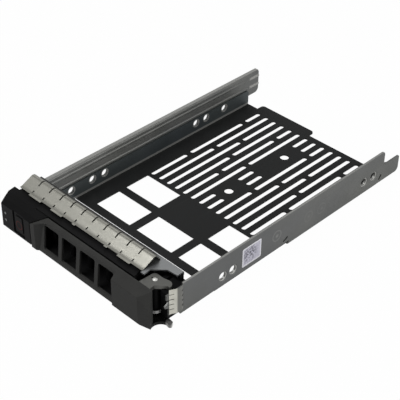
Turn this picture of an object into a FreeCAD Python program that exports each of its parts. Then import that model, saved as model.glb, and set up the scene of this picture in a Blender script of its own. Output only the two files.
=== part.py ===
import FreeCAD, Part
import math
import os

os.makedirs("parts", exist_ok=True)

# Millimetres. +X runs to the hinge side, +Y to the rear, +Z up.
# The drawing values are measured from the floor's top face, the left wall of the bay
# and the front edge of the first row of floor windows. Every piece is then moved so
# that the origin is at the bottom centre of the whole caddy.

# Sheet metal
sheet = 0.8
bay_width = 102.0
bend_radius = 1.2
rail_bend_radius = 1.5

# Drive screw pattern
drive_hole_radius = 2.1
drive_hole_height = 6.35
drive_hole_front = 7.2
drive_hole_spacing = 101.6
drive_hole_rear = drive_hole_front + drive_hole_spacing
left_hole_places = [-7.4, drive_hole_front, 15.9, 85.5, 93.7, drive_hole_rear]
right_hole_places = [0.1, drive_hole_front, drive_hole_rear, 117.0]

# Floor plate
floor_front = -4.6
floor_rear = 129.9
floor_edge_round = 0.75
right_window_margin = 3.4
window_columns = [(10.86, 36.92), (41.75, 67.91), (72.53, bay_width - right_window_margin)]
window_rows = [(0.0, 16.28), (20.92, 37.23)]
slot_first = 12.1
slot_pitch = 6.15
slot_margin = 8.0
slot_count = int((bay_width - slot_first - slot_margin) / slot_pitch) + 1
slot_width = 2.8
floor_hole_radius = 2.55
floor_hole_x = 52.3
floor_hole_rows = [58.1, 103.3]
rear_tab_left = 7.5
rear_tab_right = 47.5
rear_tab_rear = 134.8
rear_tab_radius = 2.0

# Drive guides
guide_front = -20.0
guide_rear = 129.7
guide_top = 9.4
guide_corner = 1.5

# Rails
rail_front = -36.0
rail_flange_front = 48.0
rail_flange_rear = 121.0
rail_flange_width = 8.0
right_rail_top = 18.9
left_rail_top = 19.4
left_top_flange = 3.0
rail_relief_top = 4.5
rail_relief_width = 3.0
rail_front_bottom = 1.0
left_rail_front_top = 17.5
upper_tab_length = 1.3
lower_tab_length = 2.4
left_top_flange_front = -22.0
tongue_front = 125.5
tongue_top = 9.7
tongue_bottom = -0.5
tongue_rear = 139.5
rail_corner = 2.5
rail_nose_top = 17.3
rail_nose_bottom = 4.6
rail_nose_rear = -26.8

# Light pipes
pipe_radius = 1.0
pipe_tip_radius = 0.7
pipe_line_x = -2.2
pipe_heights = [10.5, 16.0]
pipe_tip_heights = [5.0, 9.3]
pipe_tip_x = [-5.7, -5.6]
pipe_groove_radius = 1.1
pipe_bead_radius = 1.3
pipe_bead_x = -1.7
pipe_gap = 0.05
clip_places = [-8.0, 52.0, 112.0]
clip_length = 4.0

# Front housing
face_front = -46.0
housing_rear = -23.0
block_left = -4.6
block_right = 14.0
brow_gap = 0.4
wing_left = -8.9
wing_rear = -36.7
wing_draft = 0.4
housing_top = 19.8
pad_top = 20.2
top_wall = 2.0
shell_wall = 1.6
duct_front = -40.2
duct_floor_front = -43.2
rib_front = -36.5
duct_floor_bottom = -1.6
rib_width = 2.5
window_pitch = 13.4
window_width = 10.9
first_window_left = 22.9
window_count = 4
button_left = 0.6
button_right = 9.6
button_bottom = 1.0
button_top = 14.5

# Lever
pivot_inset = 8.7
pivot_x = bay_width - pivot_inset
pivot_y = -34.7
lever_gap = 0.6
lever_left = block_right + lever_gap
lever_bottom = -1.2
lever_face_top = 15.0
lever_top = 20.2
lever_back = -40.8
lever_wall = 1.8
slope_wall = 2.55
slant_rise = 0.645
slant_start = (lever_left + 2.3, 15.3)
recess_lead = 3.1
recess_margin = 1.2
recess_foot = -44.96
recess_head = -42.8
recess_top = 18.2
recess_corner = 3.5
panel_wall = 1.2
opening_bottom = 1.5
opening_top = 16.2
opening_corner = 1.2
rib_places = [-9.3, -2.8]
boss_places = [-5.1, 1.2]
boss_height = 9.0
boss_radius = 2.0
web_front = -42.6
ear_thickness = 2.0
ear_top = 19.5
claw_top = 0.6
pin_radius = 1.0
pin_head_margin = 0.4
pin_head_height = 0.6
pin_clearance = 0.05
rivet_radius = 0.95
ear_sweep_radius = 9.15
barrel_radius = 3.0
barrel_bottom = 1.0
side_wall_bottom = 1.8
barrel_top = 17.1

# Springs, strips and fasteners
torsion_wire = 0.8
torsion_pitch = 0.85
torsion_coil_radius = 3.65
torsion_coil_bottom = 1.3
button_coil_radius = 2.5
button_coil_wire = 0.5
coil_steps = 18
strip_thickness = 0.2
strip_left = -4.7
strip_right = pivot_x - 7.3
strip_slit = 0.8
finger_pitch = 8.25
finger_first_slit = 3.7
bracket_bottom = pad_top
bracket_left = -4.5
bracket_screw_places = [9.0, 42.0, 72.0]
bracket_screw_y = -28.0
rail_screw_radius = 1.5
right_screw_y = -30.0
right_screw_heights = [6.5, 15.0]
left_screw_places = [-32.0, -26.0]
left_screw_height = 5.0
claw_reach = 12.5
claw_rear = -34.6
side_strip_bottom = 5.3
side_strip_top = 20.0
side_strip_front = -35.9
side_strip_bulge = 2.0

left = wing_left
right = pivot_x + claw_reach
front = face_front
rear = tongue_rear
bottom = -2.0 * sheet
origin_shift = FreeCAD.Vector(
    -(left + right) / 2.0,
    -(front + rear) / 2.0,
    -bottom,
)


def box(x0, x1, y0, y1, z0, z1):
    corner = FreeCAD.Vector(x0, y0, z0)
    return Part.makeBox(x1 - x0, y1 - y0, z1 - z0, corner)


def cylinder(x, y, z, radius, length, direction):
    base = FreeCAD.Vector(x, y, z)
    return Part.makeCylinder(radius, length, base, FreeCAD.Vector(*direction))


def face_of(points):
    corners = [FreeCAD.Vector(*point) for point in points]
    corners.append(corners[0])
    return Part.Face(Part.makePolygon(corners))


def prism_x(profile, x0, x1):
    # The profile is a list of y and z pairs.
    face = face_of([(x0, y, z) for y, z in profile])
    return face.extrude(FreeCAD.Vector(x1 - x0, 0.0, 0.0))


def prism_z(outline, z0, z1):
    # The outline is a list of x and y pairs.
    face = face_of([(x, y, z0) for x, y in outline])
    return face.extrude(FreeCAD.Vector(0.0, 0.0, z1 - z0))


def window_left(index):
    return first_window_left + window_pitch * index


def curved_prism(start, steps, z0, z1):
    # A plan outline. A step is the next corner, or the middle and the end of an arc.
    here = FreeCAD.Vector(start[0], start[1], z0)
    first = here
    edges = []
    for step in steps:
        end = FreeCAD.Vector(step[-2], step[-1], z0)
        if len(step) == 4:
            middle = FreeCAD.Vector(step[0], step[1], z0)
            edges.append(Part.Arc(here, middle, end).toShape())
        else:
            edges.append(Part.makeLine(here, end))
        here = end
    edges.append(Part.makeLine(here, first))
    return Part.Face(Part.Wire(edges)).extrude(FreeCAD.Vector(0.0, 0.0, z1 - z0))


def from_pivot(points):
    # Turns places measured from the hinge's X into drawing places.
    moved = []
    for point in points:
        xs = [value + pivot_x if place % 2 == 0 else value for place, value in enumerate(point)]
        moved.append(tuple(xs))
    return moved


def rounded(solid, picks, radius):
    # Rounds the straight edges whose middle lies at one of the picked points.
    # A pick gives x, y and z, and None stands for any value.
    edges = []
    for edge in solid.Edges:
        middle = edge.valueAt((edge.FirstParameter + edge.LastParameter) / 2.0)
        for pick in picks:
            near = True
            for have, want in zip((middle.x, middle.y, middle.z), pick):
                if want is not None and abs(have - want) > 0.05:
                    near = False
            if near:
                edges.append(edge)
    if not edges:
        raise ValueError("no edge to round")
    return solid.makeFillet(radius, edges)


def ribbon(points, thickness, place, sweep):
    # A thin sprung sheet whose section follows the points.
    upper = []
    lower = []
    for index in range(len(points)):
        before = points[max(index - 1, 0)]
        after = points[min(index + 1, len(points) - 1)]
        along = (after[0] - before[0], after[1] - before[1])
        length = math.hypot(along[0], along[1])
        normal = (-along[1] / length, along[0] / length)
        half = thickness / 2.0
        upper.append((points[index][0] + normal[0] * half, points[index][1] + normal[1] * half))
        lower.append((points[index][0] - normal[0] * half, points[index][1] - normal[1] * half))
    upper_points = [place(pair) for pair in upper]
    lower_points = [place(pair) for pair in lower]
    upper_curve = Part.BSplineCurve()
    upper_curve.interpolate(upper_points)
    lower_curve = Part.BSplineCurve()
    lower_curve.interpolate(lower_points)
    wire = Part.Wire([
        upper_curve.toShape(),
        Part.makeLine(upper_points[-1], lower_points[-1]),
        lower_curve.toShape(),
        Part.makeLine(lower_points[0], upper_points[0]),
    ])
    return Part.Face(wire).extrude(sweep)


def coil(radius, wire, pitch, turns):
    # A helical spring along +Z, made of short straight lengths of eight-sided wire.
    sections = []
    rise = pitch / (2.0 * math.pi)
    for index in range(int(turns * coil_steps) + 1):
        angle = 2.0 * math.pi * index / coil_steps
        outward = FreeCAD.Vector(math.cos(angle), math.sin(angle), 0.0)
        centre = outward * radius + FreeCAD.Vector(0.0, 0.0, rise * angle)
        along = FreeCAD.Vector(-radius * math.sin(angle), radius * math.cos(angle), rise)
        upward = outward.cross(along).normalize()
        corners = []
        for side in range(9):
            turn = 2.0 * math.pi * side / 8
            reach = outward * math.cos(turn) + upward * math.sin(turn)
            corners.append(centre + reach * (wire / 2.0))
        sections.append(Part.makePolygon(corners))
    return Part.makeLoft(sections, True, True)


def slot(x, y0, y1):
    half = slot_width / 2.0
    low = -3.0 * sheet
    depth = 4.0 * sheet
    middle = box(x - half, x + half, y0 + half, y1 - half, low, low + depth)
    ends = cylinder(x, y0 + half, low, half, depth, (0, 0, 1))
    ends = ends.fuse(cylinder(x, y1 - half, low, half, depth, (0, 0, 1)))
    return middle.fuse(ends)


def slot_rows(column):
    if column in (0, 4, 8, 12):
        return [(39.2, 66.1), (69.2, 111.6), (114.6, 126.7)]
    if column in (2, 10):
        return [(39.2, 96.5), (99.3, 126.8)]
    if column in (6, 7):
        return [(39.2, 51.0), (69.3, 81.0), (114.6, 126.5)]
    return [(39.2, 81.4), (84.2, 126.8)]


def side_hole(y, from_left):
    x = -4.0 * sheet if from_left else bay_width - 2.0 * sheet
    return cylinder(x, y, drive_hole_height, drive_hole_radius, 6.0 * sheet, (1, 0, 0))


def left_holes():
    return [side_hole(y, True) for y in left_hole_places]


def right_holes():
    return [side_hole(y, False) for y in right_hole_places]


def make_floor_plate():
    plate = box(-sheet, bay_width + sheet, floor_front, floor_rear, -sheet, 0.0)
    edges = [(-sheet, None, -sheet), (bay_width + sheet, None, -sheet)]
    plate = rounded(plate, edges, floor_edge_round)
    tools = []
    for column in range(3):
        for row in range(2):
            if column == 1 and row == 1:
                continue
            x0, x1 = window_columns[column]
            y0, y1 = window_rows[row]
            window = box(x0, x1, y0, y1, -2, 1)
            picks = [(x, y, None) for x in (x0, x1) for y in (y0, y1)]
            tools.append(rounded(window, picks, 0.5))
    for column in range(slot_count):
        x = slot_first + slot_pitch * column
        for y0, y1 in slot_rows(column):
            tools.append(slot(x, y0, y1))
    for y in floor_hole_rows:
        tools.append(cylinder(floor_hole_x, y, -2, floor_hole_radius, 4, (0, 0, 1)))
    plate = plate.cut(tools)
    tab = box(rear_tab_left, rear_tab_right, floor_rear - 1, rear_tab_rear, -sheet, 0)
    picks = [(x, rear_tab_rear, None) for x in (rear_tab_left, rear_tab_right)]
    tab = rounded(tab, picks, rear_tab_radius)
    return plate.fuse(tab).removeSplitter()


def make_drive_guide(inner_x, outward, holes):
    # A low wall that stands on the floor's edge and carries the drive's side screws.
    low_x = min(inner_x, inner_x + outward * sheet)
    guide = box(low_x, low_x + sheet, guide_front, guide_rear, 0.0, guide_top)
    corners = [(None, y, guide_top) for y in (guide_front, guide_rear)]
    guide = rounded(guide, corners, guide_corner)
    return guide.cut(holes).removeSplitter()


def rail_blank(inner_x, outward, outline, flange_front, flange_rear):
    # A wall cut to the outline, with a flange folded inwards under the floor.
    # outward is +1 on the right side and -1 on the left side.
    outer_x = inner_x + outward * sheet
    low_x = min(inner_x, outer_x)
    wall = prism_x(outline, low_x, low_x + sheet)
    inward_x = inner_x - outward * rail_flange_width
    x0 = min(inward_x, outer_x)
    x1 = max(inward_x, outer_x)
    fold = box(x0, x1, flange_front, flange_rear, bottom, bottom + 3.0)
    fold = rounded(fold, [(outer_x, None, bottom)], rail_bend_radius)
    hollow_x0 = min(inward_x - outward, inner_x)
    hollow_x1 = max(inward_x - outward, inner_x)
    hollow = box(hollow_x0, hollow_x1, flange_front - 1, flange_rear + 1, bottom + sheet, bottom + 4.0)
    hollow = rounded(hollow, [(inner_x, None, bottom + sheet)], rail_bend_radius - sheet)
    fold = fold.cut(hollow)
    picks = [(inward_x, y, None) for y in (flange_front, flange_rear)]
    fold = rounded(fold, picks, 1.5)
    return wall.fuse(fold).removeSplitter()


def make_right_rail():
    relief_front = rail_flange_front - 0.5 - rail_relief_width
    outline = [
        (rail_front, rail_nose_bottom),
        (rail_nose_rear - 3.7, rail_nose_bottom),
        (rail_nose_rear - 1.8, rail_front_bottom),
        (relief_front - 1.5, rail_front_bottom),
        (relief_front - 0.5, bottom + 3.0),
        (rail_flange_rear, bottom + 3.0),
        (rail_flange_rear, tongue_bottom),
        (tongue_rear, tongue_bottom),
        (tongue_rear, tongue_top),
        (tongue_front, tongue_top),
        (tongue_front, right_rail_top),
        (rail_nose_rear, right_rail_top),
        (rail_nose_rear, rail_nose_top),
        (rail_front - upper_tab_length, rail_nose_top),
        (rail_front - upper_tab_length, rail_nose_top - 3.0),
        (rail_front, rail_nose_top - 3.0),
        (rail_front, 12.6),
        (rail_front - lower_tab_length, 11.2),
        (rail_front - lower_tab_length, 10.2),
        (rail_front, 9.0),
    ]
    inner_x = bay_width + sheet
    rail = rail_blank(inner_x, 1, outline, rail_flange_front, rail_flange_rear)
    large = [(None, tongue_rear, tongue_bottom), (None, tongue_front, right_rail_top)]
    small = [(None, tongue_rear, tongue_top)]
    rail = rounded(rail, large, rail_corner)
    rail = rounded(rail, small, rail_corner - 1.0)
    tools = right_holes()
    front_slit = [(-4.1, 2.4), (-0.7, 3.9), (-1.1, 4.9), (-4.4, 3.3)]
    rear_slit = [(0.6, 1.6), (1.8, 1.2), (3.6, 3.6), (2.4, 4.6)]
    for slit, start in ((front_slit, rail_flange_front), (rear_slit, rail_flange_rear)):
        corners = [(start + run, height) for run, height in slit]
        tools.append(prism_x(corners, inner_x - 1, inner_x + 2))
    for y in right_hole_places:
        cone = Part.makeCone(
            drive_hole_radius, drive_hole_radius + 1.3, 0.6,
            FreeCAD.Vector(inner_x + sheet - 0.55, y, drive_hole_height),
            FreeCAD.Vector(1, 0, 0),
        )
        tools.append(cone)
    for z in right_screw_heights:
        tools.append(cylinder(inner_x - 1, right_screw_y, z, rail_screw_radius + 0.05, 3, (1, 0, 0)))
    return rail.cut(tools).removeSplitter()


def make_left_rail():
    relief_front = rail_flange_front - 0.5 - rail_relief_width
    relief_rear = rail_flange_rear + rail_relief_width
    left_tongue_bottom = 5.0
    left_tongue_rear = tongue_rear - 0.5
    outline = [
        (rail_front, rail_front_bottom),
        (relief_front, rail_front_bottom),
        (relief_front, rail_relief_top),
        (rail_flange_front, rail_relief_top),
        (rail_flange_front, bottom + 3.0),
        (rail_flange_rear, bottom + 3.0),
        (rail_flange_rear, rail_relief_top),
        (relief_rear, rail_relief_top),
        (relief_rear, -0.4),
        (floor_rear, -0.4),
        (floor_rear, left_tongue_bottom),
        (left_tongue_rear, left_tongue_bottom),
        (left_tongue_rear, left_rail_top),
        (left_top_flange_front, left_rail_top),
        (left_top_flange_front, left_rail_front_top),
        (rail_front, left_rail_front_top),
    ]
    inner_x = -sheet
    rail = rail_blank(inner_x, -1, outline, rail_flange_front, rail_flange_rear)
    rail = rounded(rail, [(None, left_tongue_rear, left_tongue_bottom)], rail_corner + 0.5)
    outer_x = inner_x - left_top_flange
    top = box(outer_x, inner_x, left_top_flange_front, left_tongue_rear,
              left_rail_top - 2.0, left_rail_top)
    top = rounded(top, [(inner_x, None, left_rail_top)], bend_radius)
    under = box(outer_x - 1, inner_x - sheet, left_top_flange_front - 1, tongue_rear,
                left_rail_top - 3.0, left_rail_top - sheet)
    under = rounded(under, [(inner_x - sheet, None, left_rail_top - sheet)], bend_radius - sheet)
    top = top.cut(under)
    wall_cut = box(inner_x - 2 * sheet, inner_x + 1, left_top_flange_front, tongue_rear + 1,
                   left_rail_top - 2.0, left_rail_top + 1)
    rail = rail.cut(wall_cut).fuse(top)
    for z in pipe_heights:
        bead = cylinder(pipe_bead_x, left_top_flange_front, z, pipe_bead_radius,
                        left_tongue_rear - left_top_flange_front, (0, 1, 0))
        keep = box(inner_x - 0.1, inner_x + 2, left_top_flange_front, left_tongue_rear, z - 2, z + 2)
        rail = rail.fuse(bead.common(keep))
    tools = []
    for z in pipe_heights:
        tools.append(cylinder(pipe_line_x, rail_front - 1, z, pipe_groove_radius,
                              tongue_rear - rail_front + 2, (0, 1, 0)))
    tools.extend(left_holes())
    for y in left_screw_places:
        tools.append(cylinder(inner_x - 2, y, left_screw_height, rail_screw_radius + 0.05, 3, (1, 0, 0)))
    return rail.cut(tools).removeSplitter()


def pipe_path(index):
    z = pipe_heights[index]
    tip_z = pipe_tip_heights[index]
    tip_x = pipe_tip_x[index]
    points = [
        FreeCAD.Vector(pipe_line_x, -28.0, z),
        FreeCAD.Vector(pipe_line_x, -30.0, z),
        FreeCAD.Vector((pipe_line_x + tip_x) / 2.0, -37.0, (z + tip_z) / 2.0),
        FreeCAD.Vector(tip_x, -44.0, tip_z),
        FreeCAD.Vector(tip_x, face_front - 0.1, tip_z),
    ]
    curve = Part.BSplineCurve()
    along = FreeCAD.Vector(0, -1, 0)
    curve.interpolate(Points=points, InitialTangent=along, FinalTangent=along)
    return Part.Wire([curve.toShape()])


def pipe_room(index):
    # The hollow that the curved end of a light pipe passes through.
    z = pipe_heights[index]
    points = [
        FreeCAD.Vector(pipe_line_x, housing_rear + 1, z),
        FreeCAD.Vector(pipe_line_x, -29.5, z),
        FreeCAD.Vector((pipe_line_x + pipe_tip_x[index]) / 2.0, -37.0, (z + pipe_tip_heights[index]) / 2.0),
        FreeCAD.Vector(pipe_tip_x[index], face_front + shell_wall, pipe_tip_heights[index]),
    ]
    room = cylinder(points[0].x, points[0].y, points[0].z, 1.3, 7.5, (0, -1, 0))
    for index in range(1, 3):
        along = points[index + 1] - points[index]
        start = points[index]
        room = room.fuse(cylinder(start.x, start.y, start.z, 1.3, along.Length, tuple(along)))
        room = room.fuse(Part.makeSphere(1.3, start))
    return room


def make_light_pipe(index):
    z = pipe_heights[index]
    start = -28.0
    rod = cylinder(pipe_line_x, start, z, pipe_radius, tongue_rear - start, (0, 1, 0))
    section = Part.Wire([Part.makeCircle(
        pipe_tip_radius, FreeCAD.Vector(pipe_line_x, start, z), FreeCAD.Vector(0, 1, 0))])
    tip = pipe_path(index).makePipeShell([section], True, True)
    overlap = cylinder(pipe_line_x, start - 0.001, z, pipe_tip_radius, 0.5, (0, 1, 0))
    return rod.fuse(overlap).fuse(tip)


def make_light_pipe_clips():
    clips = []
    for y in clip_places:
        clip = box(-3.7, -2.0 * sheet, y - clip_length / 2.0, y + clip_length / 2.0, 8.9, 17.6)
        clip = rounded(clip, [(-3.7, None, 8.9), (-3.7, None, 17.6)], 0.8)
        for z in pipe_heights:
            clip = clip.cut(cylinder(pipe_line_x, y - 3, z, pipe_radius + pipe_gap, 6, (0, 1, 0)))
            clip = clip.cut(box(pipe_line_x, 0, y - 3, y + 3, z - 0.9, z + 0.9))
        clips.append(clip)
    return Part.makeCompound(clips)


def slant_line(shift, x):
    # Height of the lever's slanted left edge at x, moved up and left by the shift.
    run = math.hypot(1.0, slant_rise)
    return slant_start[1] + slant_rise * (x - slant_start[0]) + shift * run


def slant_room(shift, x0, low, high, y0, y1):
    # All that lies above the slanted edge between two places along Y.
    x1 = x0 + (high - slant_line(shift, x0)) / slant_rise
    return face_of([
        (x0 - 3.0, y0, low),
        (x0, y0, slant_line(shift, x0)),
        (x1, y0, high),
        (x0 - 3.0, y0, high),
    ]).extrude(FreeCAD.Vector(0, y1 - y0, 0))


def make_front_block():
    profile = [
        (face_front, 0.0),
        (face_front, 14.2),
        (-43.6, 16.7),
        (-40.7, 19.2),
        (wing_rear, housing_top),
        (housing_rear, housing_top),
        (housing_rear, 0.0),
    ]
    block = prism_x(profile, block_left, block_right)
    wing = prism_x(profile[:5] + [(wing_rear, 0.0)], wing_left, block_left)
    side = face_of([
        (wing_left - 1.0, face_front - 1.0, -1.0),
        (wing_left, face_front - 1.0, -1.0),
        (wing_left + wing_draft, face_front - 1.0, housing_top + 1.0),
        (wing_left - 1.0, face_front - 1.0, housing_top + 1.0),
    ]).extrude(FreeCAD.Vector(0, 12, 0))
    wing = wing.cut(side)
    hollow = prism_x([
        (face_front + shell_wall, 1.0),
        (face_front + shell_wall, 13.6),
        (-42.6, 15.4),
        (-40.2, 17.5),
        (-37.0, housing_top - top_wall),
        (housing_rear + 1, housing_top - top_wall),
        (housing_rear + 1, 1.0),
    ], block_left + shell_wall, block_right - shell_wall)
    wing_hollow = box(wing_left + 2.6, block_left + 2.0, face_front + shell_wall, wing_rear - 1.5,
                      1.5, 14.0)
    block = block.fuse(wing).cut(hollow).cut(wing_hollow)
    brow = prism_x(profile[1:5] + [
        (wing_rear, housing_top - top_wall),
        (-40.2, 17.3),
        (-42.6, 15.0),
        (face_front + shell_wall, 13.0),
        (face_front, 13.0),
    ], block_right - 0.5, lever_left + 9.0)
    above = slant_room(brow_gap, block_right - 0.5, 10.0, lever_top + 1.0, face_front - 1, wing_rear + 1)
    return block.fuse(brow.common(above))


def make_bezel_housing():
    block = make_front_block()
    opening = box(button_left, button_right, face_front - 1, face_front + 3, button_bottom, button_top)
    picks = [(x, None, z) for x in (button_left, button_right) for z in (button_bottom, button_top)]
    block = block.cut(rounded(opening, picks, 0.6))
    guide = box(block_left + 4.4, block_right - 0.5, -38.0, -36.4, 0.5, 18.5)
    guide = guide.cut(box(3.3, 6.9, -39, -35, 5.5, 9.1))
    boss = box(-sheet, 3.0, -34.0, -24.5, 0.5, 8.0)
    block = block.fuse([guide, boss])
    duct_right = window_left(window_count - 1) + window_width + rib_width
    roof_right = pivot_x - 8.3
    wall_right = bay_width + sheet
    roof = box(block_right - 1, roof_right, duct_front, housing_rear, housing_top - top_wall, housing_top)
    floor = box(block_right - 1, roof_right - 1, duct_front, housing_rear, duct_floor_bottom, 0.0)
    apron_left = window_left(0) - 4.0
    apron_right = window_left(window_count - 1) + window_width + 1.0
    apron = box(apron_left, apron_right, duct_floor_front, duct_front + 1, duct_floor_bottom, 0.0)
    pieces = [roof, floor, apron]
    for index in range(window_count + 1):
        x1 = window_left(index)
        pieces.append(box(x1 - rib_width, x1, rib_front, housing_rear, -1.0, housing_top - 1.0))
    pads = box(bracket_left + 0.5, roof_right - 1, -34.5, housing_rear, housing_top - 1, pad_top)
    pieces.append(pads)
    back = box(duct_right - 0.5, pivot_x + 6.9, housing_rear - 2.4, housing_rear, barrel_bottom, pad_top)
    pieces.append(back)
    side_left = pivot_x + 2.7
    pieces.append(box(side_left, wall_right, -33.0, housing_rear, side_wall_bottom, barrel_top))
    pieces.append(box(side_left + 2.4, wall_right, rail_front, -33.0, side_wall_bottom, barrel_top))
    pieces.append(cylinder(pivot_x, pivot_y, barrel_bottom, barrel_radius,
                           barrel_top - barrel_bottom, (0, 0, 1)))
    pieces.append(box(pivot_x - 1.2, pivot_x + 1.2, pivot_y, housing_rear - 1, 10.6, barrel_top))
    shape = block.fuse(pieces)
    tools = []
    ear_room = cylinder(pivot_x, pivot_y, barrel_top, ear_sweep_radius, 4, (0, 0, 1))
    tools.append(ear_room)
    tools.append(cylinder(pivot_x, pivot_y, 0, pin_radius + pin_clearance, 20, (0, 0, 1)))
    coil_room = cylinder(pivot_x, pivot_y, 0, torsion_coil_radius + 0.8, 4.2, (0, 0, 1))
    coil_room = coil_room.cut(cylinder(pivot_x, pivot_y, 0, barrel_radius, 4.2, (0, 0, 1)))
    tools.append(coil_room)
    for index in range(2):
        tip_x = pipe_tip_x[index]
        tip_z = pipe_tip_heights[index]
        tools.append(cylinder(tip_x, face_front - 1, tip_z, pipe_tip_radius + pipe_gap, 4, (0, 1, 0)))
        tools.append(pipe_room(index))
    for x in bracket_screw_places:
        tools.append(cylinder(x, bracket_screw_y, pad_top - 2.4, 1.0, 4, (0, 0, 1)))
    for z in right_screw_heights:
        tools.append(cylinder(wall_right - 4, right_screw_y, z, rail_screw_radius, 5, (1, 0, 0)))
    for y in left_screw_places:
        tools.append(cylinder(-sheet - 0.5, y, left_screw_height, rail_screw_radius, 3.5, (1, 0, 0)))
    return shape.cut(tools).removeSplitter()


def lever_outline():
    # Plan of the lever's outer skin, whose hinge end bends a little to the rear.
    return [
        (lever_left, face_front),
        (pivot_x - 0.3, face_front),
        (pivot_x + 6.7, -44.3),
        (pivot_x + 5.3, -41.4),
        (pivot_x + 4.5, lever_back),
        (lever_left, lever_back),
    ]


def end_facet(depth):
    # The room beyond the flat facet that cuts the lever's upper hinge corner.
    corners = [FreeCAD.Vector(*point) for point in from_pivot([
        (0.2, -45.4), (5.3, -41.5), (6.2, -44.1)])]
    for corner, height in zip(corners, (15.6, 19.5, 11.0)):
        corner.z = height
    normal = (corners[2] - corners[0]).cross(corners[1] - corners[0]).normalize()
    centre = (corners[0] + corners[1] + corners[2]) * (1.0 / 3.0)
    spread = [centre + (corner - centre) * 8.0 - normal * depth for corner in corners]
    return face_of([tuple(corner) for corner in spread]).extrude(normal * 12.0)


def recess_room(grow):
    # The sunk area of the lever's front, made larger by grow for the back of its walls.
    low = lever_bottom - 1.0
    ahead = face_front - 1.0
    top = recess_top + grow
    right_wall = window_left(window_count - 1) + window_width + recess_margin + grow
    back = recess_head + grow
    band = prism_x([
        (ahead, low),
        (recess_foot + grow, low),
        (back, top),
        (ahead, top),
    ], lever_left - 5.0, right_wall)
    lead = lever_left + recess_lead
    lean = (window_left(0) - lead) / (-42.4 - face_front)
    widen = grow * math.hypot(1.0, lean)
    near = lead - widen + lean * (ahead - face_front)
    far = near + lean * (back + 1.0 - ahead)
    plan = prism_z([
        (near, ahead),
        (far, back + 1.0),
        (right_wall + 1.0, back + 1.0),
        (right_wall + 1.0, ahead),
    ], low, top + 1.0)
    room = band.common(plan)
    middle = (ahead + back) / 2.0
    return rounded(room, [(near + lean * (middle - ahead), middle, top)], recess_corner + grow)


def make_lever_handle():
    far_right = pivot_x + 8.0
    slope = prism_x([
        (face_front, lever_bottom),
        (face_front, lever_face_top),
        (lever_back, lever_top),
        (lever_back, lever_bottom),
    ], lever_left, far_right)
    edges = [
        (None, face_front, lever_face_top),
        (None, lever_back, lever_top),
        (None, face_front, lever_bottom),
    ]
    slope = rounded(slope, edges, 0.4)
    outer = slope.common(prism_z(lever_outline(), lever_bottom, lever_top))
    above = slant_room(0.0, lever_left, 10.0, lever_top + 2.0, face_front - 1, lever_back + 1)
    outer = outer.cut(above).cut(end_facet(0.0))
    hollow = prism_x([
        (face_front + lever_wall, lever_bottom - 1),
        (face_front + lever_wall, lever_face_top - 0.75),
        (lever_back, lever_top - slope_wall),
        (lever_back + 2, lever_top - slope_wall),
        (lever_back + 2, lever_bottom - 1),
    ], lever_left + 1.6, far_right)
    inner_end = [
        (lever_left, face_front),
        (pivot_x - 0.5, face_front + lever_wall),
        (pivot_x + 4.6, -43.1),
        (pivot_x + 3.7, -41.2),
        (pivot_x + 3.3, lever_back + 2),
        (lever_left, lever_back + 2),
    ]
    hollow = hollow.common(prism_z(inner_end, lever_bottom - 2, lever_top))
    under = slant_room(-1.8, lever_left, 8.0, lever_top + 2.0, face_front - 1, lever_back + 3)
    hollow = hollow.cut(under).cut(end_facet(1.4)).cut(recess_room(panel_wall))
    shell = outer.cut(hollow).cut(recess_room(0.0))
    tools = []
    for index in range(window_count):
        x0 = window_left(index)
        x1 = x0 + window_width
        opening = box(x0, x1, face_front - 1, lever_back - 0.2, opening_bottom, opening_top)
        picks = [(x, None, z) for x in (x0, x1) for z in (opening_bottom, opening_top)]
        tools.append(rounded(opening, picks, opening_corner))
    shell = shell.cut(tools)
    ribs = []
    for place in rib_places:
        x = pivot_x + place
        ribs.append(box(x, x + 1.2, face_front + 1.0, web_front, lever_bottom, 15.4))
    for place in boss_places:
        boss = cylinder(pivot_x + place, face_front + 1.0, boss_height, boss_radius,
                        web_front - face_front - 1.0, (0, 1, 0))
        ribs.append(boss.common(outer))
    ribs.append(box(lever_left + 1.4, lever_left + 4.4, -44.6, -41.2, 4.0, 10.0))
    shell = shell.fuse(ribs)
    return shell.cut([make_lever_hinge_arm(), make_arm_rivets()]).removeSplitter()


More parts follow.
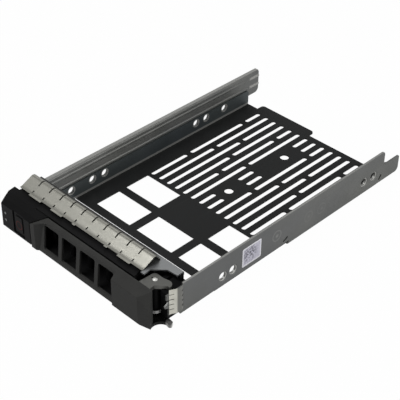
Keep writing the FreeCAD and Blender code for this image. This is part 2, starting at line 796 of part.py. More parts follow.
def make_lever_hinge_arm():
    ear = curved_prism(*from_pivot([(-4.2, lever_back)]), from_pivot([
        (2.9, lever_back),
        (2.8, -37.8),
        (4.8, -36.0),
        (7.4, -33.7),
        (8.7, -33.9),
        (8.45, -32.3, 7.4, -30.9),
        (6.2, -30.5, 4.9, -30.6),
        (2.1, -31.3),
        (-1.8, -31.2),
        (-3.4, -31.8, -3.8, -33.1),
        (-4.2, -39.4),
    ]), ear_top - ear_thickness, ear_top)
    web = prism_x([
        (web_front, lever_bottom),
        (web_front, 15.6),
        (lever_back + 0.05, 17.4),
        (lever_back + 0.05, ear_top),
        (lever_back + 1.4, ear_top),
        (lever_back + 1.4, 17.2),
        (web_front + 1.4, 15.0),
        (web_front + 1.4, lever_bottom),
    ], pivot_x - 4.2, pivot_x + 2.9)
    web_rear = web_front + 1.4
    web_side = box(pivot_x - 6.9, pivot_x - 4.1, web_front, web_rear, lever_bottom, 14.5)
    foot = curved_prism(*from_pivot([(-6.9, web_front)]), from_pivot([
        (5.4, web_front),
        (6.4, -43.6),
        (6.7, -39.4, 9.6, -37.1),
        (claw_reach - 1.1, -37.4),
        (claw_reach - 0.25, -37.0, claw_reach, -36.2),
        (claw_reach - 0.9, claw_rear),
        (claw_reach - 4.9, claw_rear + 0.6),
        (3.3, -31.6),
        (-1.8, -31.2),
        (-3.4, -31.8, -3.8, -33.1),
        (-4.7, -39.4),
        (-6.9, -40.9),
    ]), lever_bottom, claw_top)
    arm = ear.fuse([web, web_side, foot])
    arm = arm.cut(cylinder(pivot_x, pivot_y, -3, pin_radius + pin_clearance, 24, (0, 0, 1)))
    arm = arm.cut(cylinder(pivot_x - 2.0, pivot_y, ear_top - ear_thickness - 1, 0.4, 4, (0, 0, 1)))
    for place in boss_places:
        arm = arm.cut(cylinder(pivot_x + place, face_front, boss_height, rivet_radius + 0.05,
                               6, (0, 1, 0)))
    return arm.removeSplitter()


def make_arm_rivets():
    rivets = []
    web_rear = web_front + 1.4
    for place in boss_places:
        x = pivot_x + place
        shank = cylinder(x, web_front - 1.6, boss_height, rivet_radius, 3.1, (0, 1, 0))
        head = cylinder(x, web_rear, boss_height, 2.0 * rivet_radius, 0.7, (0, 1, 0))
        rivets.append(shank.fuse(head))
    return Part.makeCompound(rivets)


def make_lever_pivot_pin():
    length = ear_top - lever_bottom + 0.4
    pin = cylinder(pivot_x, pivot_y, lever_bottom - 0.3, pin_radius, length, (0, 0, 1))
    head_radius = pin_radius + pin_head_margin
    head_bottom = ear_top + pin_clearance
    head = cylinder(pivot_x, pivot_y, head_bottom, head_radius, pin_head_height, (0, 0, 1))
    dome_radius = head_radius * 1.15
    centre = FreeCAD.Vector(pivot_x, pivot_y, head_bottom + pin_head_height - dome_radius)
    head = head.common(Part.makeSphere(dome_radius, centre))
    return pin.fuse(head).removeSplitter()


def make_lever_torsion_spring():
    turns = coil(torsion_coil_radius, torsion_wire, torsion_pitch, 2.25)
    turns.translate(FreeCAD.Vector(pivot_x, pivot_y, torsion_coil_bottom))
    return turns


def make_release_button():
    gap = 0.3
    front = face_front + 0.5
    plate = box(button_left + gap, button_right - gap, front, front + 1.8,
                button_bottom + gap, button_top - gap)
    picks = [(x, None, z) for x in (button_left + gap, button_right - gap)
             for z in (button_bottom + gap, button_top - gap)]
    plate = rounded(plate, picks, 0.5)
    pad = box(button_left + 1.7, button_right - 1.7, front - 0.4, front + 1,
              button_bottom + 1.9, button_top - 1.9)
    picks = [(x, None, z) for x in (button_left + 1.7, button_right - 1.7)
             for z in (button_bottom + 1.9, button_top - 1.9)]
    pad = rounded(pad, picks, 0.8)
    stem = box(3.6, 6.6, front + 1, -35.6, 5.8, 8.8)
    return plate.fuse([pad, stem]).removeSplitter()


def make_button_spring():
    turns = coil(button_coil_radius, button_coil_wire, 1.1, 4.5)
    turns.rotate(FreeCAD.Vector(0, 0, 0), FreeCAD.Vector(1, 0, 0), -90)
    turns.translate(FreeCAD.Vector(5.1, -43.4, 7.3))
    return turns


def make_front_bracket():
    top = bracket_bottom + sheet
    lip_rear = housing_rear + sheet
    plate_right = pivot_x + 6.4
    outline = [
        (bracket_left, -34.6),
        (pivot_x - 7.2, -34.6),
        (pivot_x - 7.2, -37.0),
        (pivot_x - 4.9, -37.0),
        (pivot_x - 5.4, -32.5),
        (pivot_x + 0.5, housing_rear - 4.1),
        (plate_right, housing_rear - 3.7),
        (plate_right, lip_rear),
        (bracket_left, lip_rear),
    ]
    plate = prism_z(outline, bracket_bottom, top)
    lip = box(bracket_left, plate_right, housing_rear, lip_rear, top - 3.2, top)
    lip = lip.cut(box(pivot_x - 2.8, plate_right + 1, housing_rear - 1, lip_rear + 1, top - 4, top - 2.2))
    plate = plate.fuse(lip).removeSplitter()
    plate = rounded(plate, [(None, lip_rear, top)], 0.7)
    tools = [cylinder(x, bracket_screw_y, bracket_bottom - 1, 1.2, 3, (0, 0, 1))
             for x in bracket_screw_places]
    return plate.cut(tools)


def make_bracket_screws():
    screws = []
    top = bracket_bottom + sheet
    y = bracket_screw_y
    for x in bracket_screw_places:
        head = cylinder(x, y, top, 2.1, 0.9, (0, 0, 1))
        head = head.cut(box(x - 1.5, x + 1.5, y - 0.25, y + 0.25, top + 0.5, top + 1))
        head = head.cut(box(x - 0.25, x + 0.25, y - 1.5, y + 1.5, top + 0.5, top + 1))
        shank = cylinder(x, y, pad_top - 2.2, 0.95, 2.2 + sheet + 0.1, (0, 0, 1))
        screws.append(head.fuse(shank).removeSplitter())
    return Part.makeCompound(screws)


def make_rail_screws():
    screws = []
    outer = bay_width + 2.0 * sheet
    head_radius = rail_screw_radius + 0.8
    shank_radius = rail_screw_radius - 0.05
    for z in right_screw_heights:
        head = cylinder(outer, right_screw_y, z, head_radius, 0.5, (1, 0, 0))
        shank = cylinder(outer - 4.0, right_screw_y, z, shank_radius, 4.1, (1, 0, 0))
        screws.append(head.fuse(shank).removeSplitter())
    for y in left_screw_places:
        head = cylinder(-2.0 * sheet - 0.7, y, left_screw_height, head_radius, 0.7, (1, 0, 0))
        shank = cylinder(-2.0 * sheet - 0.1, y, left_screw_height, shank_radius, 3.6, (1, 0, 0))
        screws.append(head.fuse(shank).removeSplitter())
    return Part.makeCompound(screws)


def make_top_finger_strip():
    top = bracket_bottom + sheet
    section = [
        (-36.1, top + 0.15),
        (-35.3, top + 0.25),
        (-32.6, top + 1.4),
        (-29.6, top + 2.8),
        (-27.9, top + 3.5),
        (-26.5, top + 3.2),
        (-25.4, top + 2.0),
        (-24.7, top + 0.8),
        (-24.3, top + 0.15),
    ]

    def place(pair):
        return FreeCAD.Vector(strip_left, pair[0], pair[1])

    strip = ribbon(section, strip_thickness, place, FreeCAD.Vector(strip_right - strip_left, 0, 0))
    tabs = []
    for x0, x1 in ((3.6, 12.6), (20.6, 29.0), (69.6, 78.4)):
        tabs.append(box(x0, x1, -37.2, -35.9, top + 0.05, top + 0.25))
    for x0, x1 in ((36.7, 38.7), (60.0, 62.2)):
        tabs.append(box(x0, x1, -36.9, -35.9, top + 0.05, top + 0.25))
    strip = strip.fuse(tabs)
    tools = []
    slit_count = int((strip_right - finger_first_slit) / finger_pitch) + 1
    for index in range(slit_count):
        x = finger_first_slit + finger_pitch * index
        x0 = x - strip_slit / 2.0
        tools.append(box(x0, x0 + strip_slit, -30.7, -19, top - 1, top + 5))
        tools.append(box(x0, x0 + strip_slit, -35.0, -33.6, top - 1, top + 5))
    return strip.cut(tools)


def make_side_finger_strip():
    outer = bay_width + 2.0 * sheet
    shape = [
        (0.0, 0.06),
        (0.9, 0.2),
        (2.7, 0.66),
        (4.5, 0.96),
        (6.2, 1.0),
        (7.6, 0.72),
        (8.4, 0.32),
        (8.9, 0.06),
    ]
    section = [(side_strip_front + run, outer + side_strip_bulge * rise) for run, rise in shape]

    def place(pair):
        return FreeCAD.Vector(pair[1], pair[0], side_strip_bottom)

    height = side_strip_top - side_strip_bottom
    strip = ribbon(section, strip_thickness, place, FreeCAD.Vector(0, 0, height))
    tools = []
    for index in range(4):
        z = side_strip_bottom + height * (index + 1) / 5.0
        front_end = side_strip_front + 2.3
        rear_start = side_strip_front + 6.4
        tools.append(box(outer - 1, outer + 3, side_strip_front - 1, front_end, z - 0.2, z + 0.2))
        tools.append(box(outer - 1, outer + 3, rear_start, rear_start + 4, z - 0.4, z + 0.4))
    return strip.cut(tools)


def make_label_sticker():
    outer = bay_width + 2.0 * sheet
    label = box(outer, outer + 0.08, 13.4, 26.8, 3.7, 15.0)
    return rounded(label, [(None, y, z) for y in (13.4, 26.8) for z in (3.7, 15.0)], 0.8)


makers = {
    "floor_plate": make_floor_plate,
    "left_drive_guide": lambda: make_drive_guide(0.0, -1, left_holes()),
    "right_drive_guide": lambda: make_drive_guide(bay_width, 1, right_holes()),
    "left_rail": make_left_rail,
    "right_rail": make_right_rail,
    "bezel_housing": make_bezel_housing,
    "front_bracket": make_front_bracket,
    "bracket_screws": make_bracket_screws,
    "rail_screws": make_rail_screws,
    "top_finger_strip": make_top_finger_strip,
    "side_finger_strip": make_side_finger_strip,
    "lever_handle": make_lever_handle,
    "lever_hinge_arm": make_lever_hinge_arm,
    "arm_rivets": make_arm_rivets,
    "lever_pivot_pin": make_lever_pivot_pin,
    "lever_torsion_spring": make_lever_torsion_spring,
    "release_button": make_release_button,
    "button_spring": make_button_spring,
    "light_pipe_lower": lambda: make_light_pipe(0),
    "light_pipe_upper": lambda: make_light_pipe(1),
    "light_pipe_clips": make_light_pipe_clips,
    "label_sticker": make_label_sticker,
}

for name, maker in makers.items():
    shape = maker()
    shape.translate(origin_shift)
    bounds = shape.BoundBox
    print(name, shape.isValid(), len(shape.Solids), round(shape.Volume, 1),
          [round(value, 2) for value in (bounds.XMin, bounds.XMax, bounds.YMin, bounds.YMax,
                                         bounds.ZMin, bounds.ZMax)])
    shape.exportStep("parts/" + name + ".step")
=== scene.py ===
import math

import bpy
import numpy as np
from mathutils import Matrix

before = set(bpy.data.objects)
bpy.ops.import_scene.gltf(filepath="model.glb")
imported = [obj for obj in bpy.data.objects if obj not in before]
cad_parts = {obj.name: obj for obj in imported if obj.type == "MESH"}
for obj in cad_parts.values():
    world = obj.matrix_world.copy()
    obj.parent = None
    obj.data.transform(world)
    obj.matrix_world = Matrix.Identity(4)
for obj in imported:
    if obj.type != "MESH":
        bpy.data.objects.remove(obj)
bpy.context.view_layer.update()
print("frame loaded")

# Patterns are placed in the drawing's millimetres: X from the bay's left wall, Y from the
# front edge of the floor's windows and Z from the floor's top face.
mm = 0.001
drawingZero = (-48.45, -46.75, 1.6)


def drawn(x=0.0, y=0.0, z=0.0):
    return tuple((place + zero) * mm for place, zero in zip((x, y, z), drawingZero))


class Value:
    # One socket of a node tree, so that shader maths reads as plain sums.
    def __init__(self, tree, socket):
        self.tree = tree
        self.socket = socket

    def other(self, output):
        return Value(self.tree, self.socket.node.outputs[output])

    def __add__(self, other):
        return self.tree.maths("ADD", self, other)

    def __radd__(self, other):
        return self.tree.maths("ADD", other, self)

    def __sub__(self, other):
        return self.tree.maths("SUBTRACT", self, other)

    def __rsub__(self, other):
        return self.tree.maths("SUBTRACT", other, self)

    def __mul__(self, other):
        return self.tree.maths("MULTIPLY", self, other)

    def __rmul__(self, other):
        return self.tree.maths("MULTIPLY", other, self)

    def __truediv__(self, other):
        return self.tree.maths("DIVIDE", self, other)

    def __rtruediv__(self, other):
        return self.tree.maths("DIVIDE", other, self)

    def __pow__(self, other):
        return self.tree.maths("POWER", self, other)

    def __rpow__(self, other):
        return self.tree.maths("POWER", other, self)

    def __abs__(self):
        return self.tree.maths("ABSOLUTE", self)

    def atLeast(self, floor):
        return self.tree.maths("MAXIMUM", self, floor)

    def atMost(self, ceiling):
        return self.tree.maths("MINIMUM", self, ceiling)

    def above(self, edge, soft):
        # 0 below the edge, 1 above it, with a soft step between.
        return ((self - (edge - soft / 2)) / soft).atLeast(0.0).atMost(1.0)

    def below(self, edge, soft):
        return 1 - self.above(edge, soft)


class Tree:
    # A node tree: node() adds any node, and feed() links a socket or sets its value.
    def __init__(self, nodeTree):
        self.nodes = nodeTree.nodes
        self.links = nodeTree.links

    def node(self, kind, settings=None, inputs=None, output=0):
        made = self.nodes.new(kind)
        for key, item in (settings or {}).items():
            setattr(made, key, item)
        for key, item in (inputs or {}).items():
            self.feed(made.inputs[key], item)
        return Value(self, made.outputs[output])

    def feed(self, socket, item):
        if isinstance(item, Value):
            self.links.new(item.socket, socket)
        elif socket.type == "RGBA":
            socket.default_value = (*item, 1.0)
        else:
            socket.default_value = item

    def maths(self, operation, *terms):
        return self.node("ShaderNodeMath", {"operation": operation}, dict(enumerate(terms)))


shaderSockets = {
    "colour": "Base Color",
    "roughness": "Roughness",
    "metallic": "Metallic",
    "specular": "Specular IOR Level",
    "transmission": "Transmission Weight",
    "ior": "IOR",
}


class Finish(Tree):
    # One material and the patterns that its surface is made of.
    def __init__(self, name):
        self.material = bpy.data.materials.new(name)
        self.material.use_nodes = True
        super().__init__(self.material.node_tree)
        self.shader = self.nodes["Principled BSDF"]
        self.place = self.node("ShaderNodeTexCoord", output="Object")

    def axes(self):
        x = self.node("ShaderNodeSeparateXYZ", None, {0: self.place})
        return x, x.other(1), x.other(2)

    def stretched(self, scale):
        return self.node("ShaderNodeMapping", None, {"Vector": self.place, "Scale": scale})

    def noise(self, scale, detail=3.0, roughness=0.5):
        # One scale gives an even pattern, and three, along X, Y and Z, a drawn-out one.
        drawnOut = isinstance(scale, tuple)
        return self.node("ShaderNodeTexNoise", None, {
            "Vector": self.stretched(scale) if drawnOut else self.place,
            "Scale": 1.0 if drawnOut else scale,
            "Detail": detail,
            "Roughness": roughness,
        })

    def mix(self, factor, first, second):
        return self.node("ShaderNodeMix", {"data_type": "RGBA"}, {0: factor, 6: first, 7: second}, 2)

    def ring(self, across, up, centre, radius, width, soft=0.1 * mm):
        # 1 on a thin ring about the centre in the plane of the two axes, 0 elsewhere.
        away = ((across - centre[0]) ** 2.0 + (up - centre[1]) ** 2.0) ** 0.5
        return abs(away - radius).below(width / 2.0, soft)

    def set(self, **items):
        for key, item in items.items():
            self.feed(self.shader.inputs[shaderSockets[key]], item)
        return self

    def bump(self, height, distance, strength):
        raised = self.node("ShaderNodeBump", None, {
            "Height": height,
            "Distance": distance,
            "Strength": strength,
        })
        self.feed(self.shader.inputs["Normal"], raised)
        return self


floorCoat = {
    "colour": (0.0085, 0.009, 0.009),
    "dustColour": (0.022, 0.023, 0.023),
    "smudgeScale": 38.0,
    "smudgeShare": 0.25,
    "rubScale": (900.0, 26.0, 900.0),
    "rubShare": 0.2,
    "roughness": 0.46,
    "specular": 0.2,
    "grainScale": 1900.0,
    "grainHeight": 0.02 * mm,
}


def blackCoating():
    # Black coat, greyed by cloudy smudges and by rubs along Y, on a fine grain.
    finish = Finish("blackCoatedSteel")
    grain = finish.noise(floorCoat["grainScale"], 2.0)
    smudge = finish.noise(floorCoat["smudgeScale"], 5.0, 0.6).above(0.52, 0.3)
    rubs = finish.noise(floorCoat["rubScale"]).above(0.66, 0.1)
    dust = smudge * floorCoat["smudgeShare"] + rubs * floorCoat["rubShare"]
    finish.set(
        colour=finish.mix(dust, floorCoat["colour"], floorCoat["dustColour"]),
        roughness=floorCoat["roughness"] + smudge * 0.1 + grain * 0.08,
        specular=floorCoat["specular"],
    )
    return finish.bump(grain, floorCoat["grainHeight"], 0.6)


railZinc = {
    "colour": (0.135, 0.138, 0.128),
    "paleColour": (0.19, 0.192, 0.182),
    "blueColour": (0.125, 0.13, 0.138),
    # The colour below is that of the painted highlights on edges, hole rims, ribs and clinches.
    "highlightColour": (0.42, 0.42, 0.40),
    "metallic": 0.65,
    "roughness": 0.34,
    "streakScale": (3000.0, 22.0, 2200.0),
    "cloudScale": 60.0,
    "patchScale": 22.0,
    "grainHeight": 0.03 * mm,
    # The hole rims and the clinch ring and middle are painted highlights; the clinch's dimple is also
    # bumped.
    "holeHeight": 6.35,
    "holeRadius": 2.1,
    "rimWidth": 0.5,
    "clinchRadius": 3.0,
    "clinchRing": 0.28,
    "clinchMiddle": 0.4,
    "ribStart": 131.0,
    "ribHalfWidth": 0.9,
}
plainSheet = {
    "paintedLightLift": 1.0,
    "tint": (1.0, 1.0, 1.0),
    "holes": [],
    "clinches": [],
    "ribs": [],
    "topEdge": None,
    "footEdge": None,
}
rightHoles = [0.1, 7.2, 108.8, 117.0]
# Each sheet's lift scales its tones as painted light and shade: lighter for the far rail, darker for the
# far guide.
zincSheets = {
    "left_rail": {"name": "farRailZinc", "paintedLightLift": 1.15, "topEdge": 19.2, "ribs": [10.6, 16.1]},
    "right_rail": {
        "name": "nearRailZinc",
        "holes": rightHoles,
        "topEdge": 18.5,
        "clinches": [(38.6, 9.5, 1.0), (62.9, 8.6, 0.35), (73.2, 8.3, 0.35)],
    },
    "left_drive_guide": {
        "name": "farGuideZinc",
        "paintedLightLift": 0.6,
        "tint": (0.88, 1.0, 1.08),
        "holes": [-7.4, 7.2, 15.9, 85.5, 93.7, 108.8],
        "footEdge": 1.4,
    },
    "right_drive_guide": {"name": "nearGuideZinc", "holes": rightHoles},
}


def paintedHighlights(finish, sheet, y, z):
    # Painted highlights: rims round the holes, and bands along the top edge, along the foot's bend and
    # on the rear ribs.
    paintedHighlight = 0.0
    radius = (railZinc["holeRadius"] + railZinc["rimWidth"] / 2.0) * mm
    for place in sheet["holes"]:
        centre = drawn(y=place, z=railZinc["holeHeight"])[1:]
        paintedHighlight = finish.ring(y, z, centre, radius, railZinc["rimWidth"] * mm) + paintedHighlight
    if sheet["topEdge"]:
        paintedHighlight = z.above(drawn(z=sheet["topEdge"])[2], 0.3 * mm) * 0.6 + paintedHighlight
    if sheet["footEdge"]:
        paintedHighlight = z.below(drawn(z=sheet["footEdge"])[2], 0.4 * mm) * 0.8 + paintedHighlight
    rear = y.above(drawn(y=railZinc["ribStart"])[1], 1.0 * mm)
    for level in sheet["ribs"]:
        rib = abs(z - drawn(z=level)[2]).below(railZinc["ribHalfWidth"] * mm, 0.6 * mm)
        paintedHighlight = rib * rear * 0.9 + paintedHighlight
    return paintedHighlight


def galvanised(sheet):
    # Rolled zinc: streaks along Y under a slow cloud, with painted highlights at the edges, hole rims,
    # rear ribs and pressed joints.
    sheet = {**plainSheet, **sheet}
    finish = Finish(sheet["name"])
    x, y, z = finish.axes()
    streaks = finish.noise(railZinc["streakScale"], 4.0, 0.6)
    cloud = finish.noise(railZinc["cloudScale"], 4.0, 0.6)
    patches = finish.noise(railZinc["patchScale"], 2.0).above(0.5, 0.3)
    # The zinc tones, scaled by the sheet's painted light lift.
    tones = [
        tuple(sheet["paintedLightLift"] * part * tint for part, tint in zip(railZinc[key], sheet["tint"]))
        for key in ("colour", "paleColour", "blueColour")
    ]
    base = finish.mix(cloud.above(0.5, 0.5), tones[0], tones[1])
    base = finish.mix(patches * 0.5, base, tones[2])
    paintedHighlight = paintedHighlights(finish, sheet, y, z)
    height = streaks + cloud * 0.4
    for place, level, depth in sheet["clinches"]:
        centre = drawn(y=place, z=level)[1:]
        outer = finish.ring(y, z, centre, railZinc["clinchRadius"] * mm, 0.6 * mm, 0.6 * mm)
        middle = finish.ring(y, z, centre, 0.0, 1.6 * mm, 1.2 * mm)
        # Painted highlight on each clinch's ring and middle; the height below is its real dimple.
        paintedHighlight = paintedHighlight + (outer * railZinc["clinchRing"] + middle * railZinc["clinchMiddle"]) * depth
        height = height + (middle - outer) * (4.0 * depth)
    finish.set(
        colour=finish.mix(paintedHighlight.atMost(1.0), base, railZinc["highlightColour"]),
        metallic=railZinc["metallic"],
        roughness=railZinc["roughness"] + cloud * 0.12 + streaks * 0.1,
    )
    return finish.bump(height, railZinc["grainHeight"], 0.35)


plate = {
    "colour": (0.36, 0.37, 0.37),
    "dullColour": (0.31, 0.32, 0.33),
    # The shade colour, end and front paint the side strip's shadow on the plate behind it.
    "paintedShadeColour": (0.06, 0.06, 0.058),
    "paintedShadeEnd": 84.0,
    "paintedShadeFront": -25.2,
    "cloudScale": 90.0,
    "streakScale": (30.0, 2600.0, 2600.0),
    "streakHeight": 0.03 * mm,
    "roughness": 0.37,
}


def brightSheet():
    # Bright sheet with streaks along X, and a painted shadow of the side strip left of one X and behind
    # one Y.
    finish = Finish("brightSteel")
    x, y, z = finish.axes()
    streaks = finish.noise(plate["streakScale"], 4.0, 0.6)
    paintedShade = x.below(drawn(x=plate["paintedShadeEnd"])[0], 6.0 * mm)
    paintedShade = paintedShade * y.above(drawn(y=plate["paintedShadeFront"])[1], 0.6 * mm)
    base = finish.mix(finish.noise(plate["cloudScale"]), plate["colour"], plate["dullColour"])
    base = finish.mix(paintedShade, base, plate["paintedShadeColour"])
    finish.set(colour=base, metallic=1.0, roughness=plate["roughness"] + streaks * 0.16)
    return finish.bump(streaks, plate["streakHeight"], 0.3)


tin = {
    "colour": (0.385, 0.381, 0.342),
    "dullColour": (0.31, 0.307, 0.272),
    # The shade colour is painted shade; the side lift is painted light, a brighter copy of the tin for
    # the side strip, and the side shade start begins painted shade on its rear part.
    "paintedShadeColour": (0.20, 0.20, 0.185),
    "sidePaintedLight": 1.95,
    "sidePaintedShadeStart": -32.2,
    "cloudScale": 180.0,
    "metallic": 0.85,
    "roughness": 0.29,
    "grainScale": 2400.0,
    "grainHeight": 0.02 * mm,
}


def tinPlate(name, paintedLightLift=1.0, paintedShadeStart=None):
    # Soft tin under a slow cloud, its tones scaled by a painted light lift, with painted shade behind
    # one Y where that is given.
    finish = Finish(name)
    cloud = finish.noise(tin["cloudScale"], 4.0, 0.6)
    grain = finish.noise(tin["grainScale"], 2.0)
    tones = [tuple(paintedLightLift * part for part in tin[key]) for key in ("colour", "dullColour")]
    base = finish.mix(cloud.above(0.52, 0.4), *tones)
    if paintedShadeStart:
        x, y, z = finish.axes()
        paintedShade = y.above(drawn(y=paintedShadeStart)[1], 0.8 * mm)
        base = finish.mix(paintedShade, base, tin["paintedShadeColour"])
    finish.set(colour=base, metallic=tin["metallic"], roughness=tin["roughness"] + cloud * 0.14)
    return finish.bump(grain, tin["grainHeight"], 0.3)


smallSteel = {
    "screws": {"name": "zincSteel", "colour": (0.5, 0.5, 0.49), "roughness": 0.24, "metallic": 0.95},
    "springs": {"name": "springSteel", "colour": (0.95, 0.95, 0.93), "roughness": 0.22, "metallic": 0.6},
    "pin": {"name": "pinSteel", "colour": (0.75, 0.75, 0.72), "roughness": 0.49, "metallic": 0.6},
    "cloudScale": 300.0,
    "grainScale": 1500.0,
    "grainHeight": 0.02 * mm,
}


def plainSteel(kind):
    # Plain steel, up to a fifth darker where a slow cloud is high, with a fine grain in its gloss.
    steel = smallSteel[kind]
    finish = Finish(steel["name"])
    grain = finish.noise(smallSteel["grainScale"])
    cloud = finish.noise(smallSteel["cloudScale"])
    dark = tuple(part * 0.8 for part in steel["colour"])
    finish.set(
        colour=finish.mix(cloud, steel["colour"], dark),
        metallic=steel["metallic"],
        roughness=steel["roughness"] + grain * 0.12,
    )
    return finish.bump(grain, smallSteel["grainHeight"], 0.3)


arm = {
    "colour": (0.19, 0.19, 0.178),
    # The foot colour is painted shade low in the hinge's cavity, and the tip colour a painted glint on
    # the claw's tip.
    "footShadeColour": (0.02, 0.02, 0.019),
    "tipGlintColour": (0.95, 0.95, 0.92),
    "footShadeTop": 0.8,
    "tipPlace": (104.1, -35.2),
    "tipGlintRadius": 2.0,
    "cloudScale": 300.0,
    "metallic": 0.95,
    "roughness": 0.42,
    "grainScale": 900.0,
    "grainHeight": 0.02 * mm,
}


def castArm():
    # Tumbled casting: painted shade low in the hinge's cavity, and a painted glint within a circle at
    # the tip there.
    finish = Finish("castMetal")
    x, y, z = finish.axes()
    grain = finish.noise(arm["grainScale"])
    cloud = finish.noise(arm["cloudScale"])
    # Painted shade below the foot's top, and a painted glint in a circle at the tip.
    low = z.below(drawn(z=arm["footShadeTop"])[2], 0.4 * mm)
    tip = drawn(*arm["tipPlace"])
    away = ((x - tip[0]) ** 2.0 + (y - tip[1]) ** 2.0) ** 0.5
    tipGlint = low * away.below(arm["tipGlintRadius"] * mm, 1.2 * mm)
    base = finish.mix(cloud, arm["colour"], tuple(part * 0.8 for part in arm["colour"]))
    base = finish.mix(low, base, arm["footShadeColour"])
    base = finish.mix(tipGlint, base, arm["tipGlintColour"])
    finish.set(
        colour=base,
        metallic=arm["metallic"],
        roughness=arm["roughness"] + grain * 0.12 - tipGlint * 0.15,
    )
    return finish.bump(grain, arm["grainHeight"], 0.3)


moulding = {
    "black": (0.006, 0.006, 0.0062),
    "grey": (0.037, 0.037, 0.0355),
    "roughness": 0.41,
    "specular": 0.07,
    "cloudScale": 70.0,
    "pebbleScale": 2600.0,
    "pebbleHeight": 0.03 * mm,
}


def mouldedPlastic(name, colour):
    # Spark-eroded skin: a fine pebble bump, up to a quarter paler and duller where a cloud is high.
    finish = Finish(name)
    pebble = finish.node("ShaderNodeTexVoronoi", {"feature": "SMOOTH_F1"}, {
        "Vector": finish.place,
        "Scale": moulding["pebbleScale"],
    })
    cloud = finish.noise(moulding["cloudScale"], 4.0, 0.6)
    pale = tuple(part * 1.25 for part in colour)
    finish.set(
        colour=finish.mix(cloud.above(0.5, 0.5), colour, pale),
        roughness=moulding["roughness"] + cloud * 0.14,
        specular=moulding["specular"],
    )
    return finish.bump(pebble, moulding["pebbleHeight"], 0.35)


buttonRing = {
    "colour": (0.06, 0.011, 0.010),
    "across": 5.2,
    "up": 7.3,
    "radius": 2.3,
    "width": 0.55,
    "faceEnd": -45.0,
}


def buttonPlastic():
    # The black moulding with a dull red ring on the button's front face alone.
    finish = mouldedPlastic("buttonPlastic", moulding["black"])
    x, y, z = finish.axes()
    middle = drawn(x=buttonRing["across"], z=buttonRing["up"])
    centre = (middle[0], middle[2])
    band = finish.ring(x, z, centre, buttonRing["radius"] * mm, buttonRing["width"] * mm, 0.2 * mm)
    front = y.below(drawn(y=buttonRing["faceEnd"])[1], 0.2 * mm)
    return finish.set(colour=finish.mix(band * front, moulding["black"], buttonRing["colour"]))


lightPipe = {
    "colour": (0.26, 0.275, 0.275),
    "roughness": 0.24,
    "transmission": 0.3,
    "ior": 1.49,
    "hazeScale": 400.0,
}


def clearPlastic():
    # Clear rod with a cloudy haze in its gloss.
    finish = Finish("clearPlastic")
    haze = finish.noise(lightPipe["hazeScale"], 2.0)
    return finish.set(
        colour=lightPipe["colour"],
        roughness=lightPipe["roughness"] + haze * 0.1,
        transmission=lightPipe["transmission"],
        ior=lightPipe["ior"],
    )


label = {
    "colour": (0.60, 0.59, 0.68),
    "borderColour": (0.84, 0.835, 0.88),
    "speckColour": (0.06, 0.058, 0.08),
    "speckCentre": (18.6, 9.9),
    "speckSpread": 4.2,
    "speckScale": 900.0,
    "front": 14.2,
    "rear": 26.0,
    "low": 4.5,
    "high": 14.2,
    "roughness": 0.5,
    "specular": 0.3,
    "fibreScale": 900.0,
    "fibreHeight": 0.01 * mm,
}


def labelPaper():
    # Pale border round a lilac field, with specks that are dense near one centre and thin out.
    finish = Finish("labelPaper")
    x, y, z = finish.axes()
    fibre = finish.noise(label["fibreScale"])
    edge = 0.3 * mm
    along = y.above(drawn(y=label["front"])[1], edge) * y.below(drawn(y=label["rear"])[1], edge)
    upright = z.above(drawn(z=label["low"])[2], edge) * z.below(drawn(z=label["high"])[2], edge)
    field = along * upright
    centre = drawn(0.0, *label["speckCentre"])
    away = ((y - centre[1]) ** 2.0 + (z - centre[2]) ** 2.0) ** 0.5
    dense = away.below(label["speckSpread"] * mm, 4.0 * mm)
    specks = finish.noise(label["speckScale"], 2.0, 0.7).above(0.5, 0.1)
    base = finish.mix(field, label["borderColour"], label["colour"])
    base = finish.mix(field * specks * (dense * 0.75 + 0.12), base, label["speckColour"])
    finish.set(colour=base, roughness=label["roughness"] + fibre * 0.1, specular=label["specular"])
    return finish.bump(fibre, label["fibreHeight"], 0.3)


finishes = {node: galvanised(sheet) for node, sheet in zincSheets.items()}
finishes.update({
    "floor_plate": blackCoating(),
    "bezel_housing": mouldedPlastic("blackPlastic", moulding["black"]),
    "front_bracket": brightSheet(),
    "top_finger_strip": tinPlate("tinPlate"),
    # The side strip is a copy of the tin with painted light and painted shade.
    "side_finger_strip": tinPlate("sideTinPlate", tin["sidePaintedLight"], tin["sidePaintedShadeStart"]),
    "lever_handle": mouldedPlastic("greyPlastic", moulding["grey"]),
    "lever_hinge_arm": castArm(),
    "bracket_screws": plainSteel("screws"),
    "lever_torsion_spring": plainSteel("springs"),
    "lever_pivot_pin": plainSteel("pin"),
    "release_button": buttonPlastic(),
    "light_pipe_lower": clearPlastic(),
    "label_sticker": labelPaper(),
})
sameFinish = {
    "rail_screws": "bracket_screws",
    "arm_rivets": "bracket_screws",
    "button_spring": "lever_torsion_spring",
    "light_pipe_upper": "light_pipe_lower",
    "light_pipe_clips": "bezel_housing",
}
for node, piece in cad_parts.items():
    piece.data.materials.clear()
    piece.data.materials.append(finishes[sameFinish.get(node, node)].material)
print("finishes set")


studio = {
    "worldLevel": 0.24,
    "lamps": {
        "overhead": {"power": 8.0, "place": (-0.25, -0.48, 1.0), "size": 0.55},
        "behind": {"power": 1.2, "place": (-0.75, 0.75, 0.75), "size": 0.7},
        "right": {"power": 4.6, "place": (0.9, 0.18, 0.42), "size": 0.6},
    },
    "groundHalf": 3.0,
    "groundLevel": -0.0002,
    "groundColour": (0.5, 0.5, 0.5),
    "groundGlow": 0.985,
    "groundShine": 0.5,
    "white": (1.0, 1.0, 1.0),
}
view = {
    "place": (0.324784, -0.338711, 0.354743),
    "turn": 0.774577729,
    "tilt": 0.648342802,
    "roll": 0.0128937,
    "lens": 99.0,
    "sensor": 36.0,
}


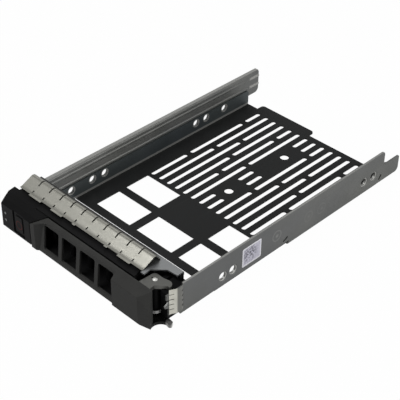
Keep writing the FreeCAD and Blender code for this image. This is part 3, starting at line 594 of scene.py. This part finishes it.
def placed(name, data, right, up, back, place):
    # An object in the scene whose three axes and place are given.
    rows = np.eye(4)
    rows[:3, 0] = right
    rows[:3, 1] = up
    rows[:3, 2] = back
    rows[:3, 3] = place
    holder = bpy.data.objects.new(name, data)
    bpy.context.scene.collection.objects.link(holder)
    holder.matrix_world = Matrix(rows.tolist())
    return holder


def aimed(name, power, place, size):
    # A square lamp that faces the origin.
    lamp = bpy.data.lights.new(name, "AREA")
    lamp.energy = power
    lamp.size = size
    ahead = -np.array(place) / np.linalg.norm(place)
    side = np.cross(ahead, (0.0, 0.0, 1.0))
    side /= np.linalg.norm(side)
    placed(name, lamp, side, np.cross(side, ahead), -ahead, place)


def ground():
    # A plain sheet under the tray: near white where only the camera sees it, its shadow kept.
    half, low = studio["groundHalf"], studio["groundLevel"]
    corners = [(-half, -half, low), (half, -half, low), (half, half, low), (-half, half, low)]
    mesh = bpy.data.meshes.new("ground")
    mesh.from_pydata(corners, [], [(0, 1, 2, 3)])
    sheet = bpy.data.objects.new("ground", mesh)
    bpy.context.scene.collection.objects.link(sheet)
    finish = Finish("groundSheet").set(colour=studio["groundColour"], roughness=1.0, specular=0.0)
    ray = finish.node("ShaderNodeLightPath", output="Is Camera Ray")
    seen = ray.atLeast(ray.other("Is Glossy Ray") * studio["groundShine"])
    seen = seen.atLeast(ray.other("Is Transmission Ray"))
    glow = finish.node("ShaderNodeEmission", None, {"Color": studio["white"], "Strength": 1.0})
    plain = Value(finish, finish.shader.outputs[0])
    blend = finish.node("ShaderNodeMixShader", None, {0: seen * studio["groundGlow"], 1: plain, 2: glow})
    finish.feed(finish.nodes["Material Output"].inputs["Surface"], blend)
    mesh.materials.append(finish.material)


def surroundings():
    # White where the camera sees it or through clear plastic, and an even grey as a light.
    world = bpy.data.worlds.new("studio")
    bpy.context.scene.world = world
    world.use_nodes = True
    tree = Tree(world.node_tree)
    background = tree.nodes["Background"]
    ray = tree.node("ShaderNodeLightPath", output="Is Camera Ray")
    seen = ray.atLeast(ray.other("Is Transmission Ray"))
    level = seen * (1.0 - studio["worldLevel"]) + studio["worldLevel"]
    tree.feed(background.inputs["Strength"], level)
    tree.feed(background.inputs["Color"], studio["white"])


def camera():
    # Turned about Z, tilted down and rolled a little, as the photo was taken.
    turn, tilt, roll = view["turn"], view["tilt"], view["roll"]
    level = math.cos(tilt)
    ahead = np.array([-math.sin(turn) * level, math.cos(turn) * level, -math.sin(tilt)])
    side = np.array([math.cos(turn), math.sin(turn), 0.0])
    rise = np.cross(side, ahead)
    right = side * math.cos(roll) + rise * math.sin(roll)
    up = rise * math.cos(roll) - side * math.sin(roll)
    data = bpy.data.cameras.new("photographer")
    data.sensor_width = view["sensor"]
    data.lens = view["lens"]
    bpy.context.scene.camera = placed("photographer", data, right, up, -ahead, view["place"])


for lampName, lamp in studio["lamps"].items():
    aimed(lampName, **lamp)
ground()
surroundings()
camera()
bpy.context.scene.view_settings.view_transform = "Standard"
print("studio ready")
